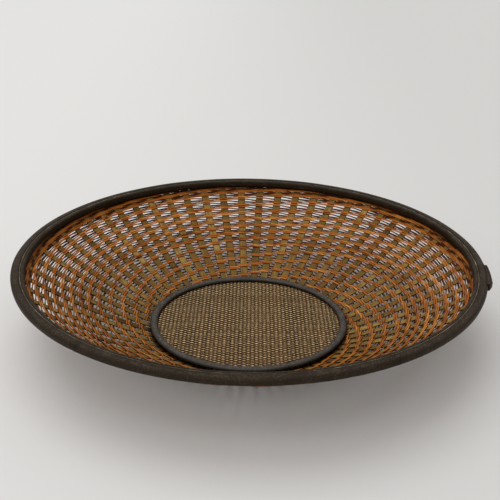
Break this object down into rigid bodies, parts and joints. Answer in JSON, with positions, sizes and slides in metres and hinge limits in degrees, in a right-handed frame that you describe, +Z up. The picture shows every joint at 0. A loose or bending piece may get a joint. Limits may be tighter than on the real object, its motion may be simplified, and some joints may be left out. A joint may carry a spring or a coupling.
{
  "type": "woven bamboo basket",
  "caption": "Wide shallow round bamboo basket with a woven open wall on flat spokes, a double rim hoop, a base ring and a fine woven mat base.",
  "frame": {"origin": "centre of the foot ring's underside, on the surface the basket stands on, midway in the overall box", "axes": "+Z up along the basket's axis; the rim's lapped end lies on the +X side; -Y faces the viewer of the picture"},
  "size_m": [0.4518, 0.4506, 0.08],
  "materials": {
    "rim_bamboo": "dark stained split bamboo, satin, worn",
    "ring_bamboo": "dark grey-brown bamboo, satin",
    "spoke_bamboo": "olive brown split bamboo strip, matt to satin",
    "weft_bamboo": "orange brown stained thin bamboo strands, satin",
    "filler_bamboo": "pale to dark bamboo strand, matt",
    "mat_bamboo": "tan and grey-brown fine plain weave, matt to satin"
  },
  "bodies": {
    "root": {"outer_rim_hoop": "rim_bamboo", "inner_rim_hoop": "rim_bamboo", "rim_lap_end": "rim_bamboo", "rim_filler_strand": "filler_bamboo", "base_ring": "ring_bamboo", "foot_ring": "ring_bamboo", "base_mat": "mat_bamboo", "spoke_fan_01": "spoke_bamboo", "spoke_fan_02": "spoke_bamboo", "spoke_fan_03": "spoke_bamboo", "spoke_fan_04": "spoke_bamboo", "spoke_fan_05": "spoke_bamboo", "spoke_fan_06": "spoke_bamboo", "spoke_fan_07": "spoke_bamboo", "spoke_fan_08": "spoke_bamboo", "spoke_fan_09": "spoke_bamboo", "spoke_fan_10": "spoke_bamboo", "weft_strand_01": "weft_bamboo", "weft_strand_02": "weft_bamboo", "weft_strand_03": "weft_bamboo", "weft_strand_04": "weft_bamboo", "weft_strand_05": "weft_bamboo", "weft_strand_06": "weft_bamboo", "weft_strand_07": "weft_bamboo", "weft_strand_08": "weft_bamboo", "weft_strand_09": "weft_bamboo", "weft_strand_10": "weft_bamboo", "weft_strand_11": "weft_bamboo", "weft_strand_12": "weft_bamboo", "weft_strand_13": "weft_bamboo", "weft_strand_14": "weft_bamboo", "weft_strand_15": "weft_bamboo", "weft_strand_16": "weft_bamboo", "weft_strand_17": "weft_bamboo"}
  },
  "joints": []
}
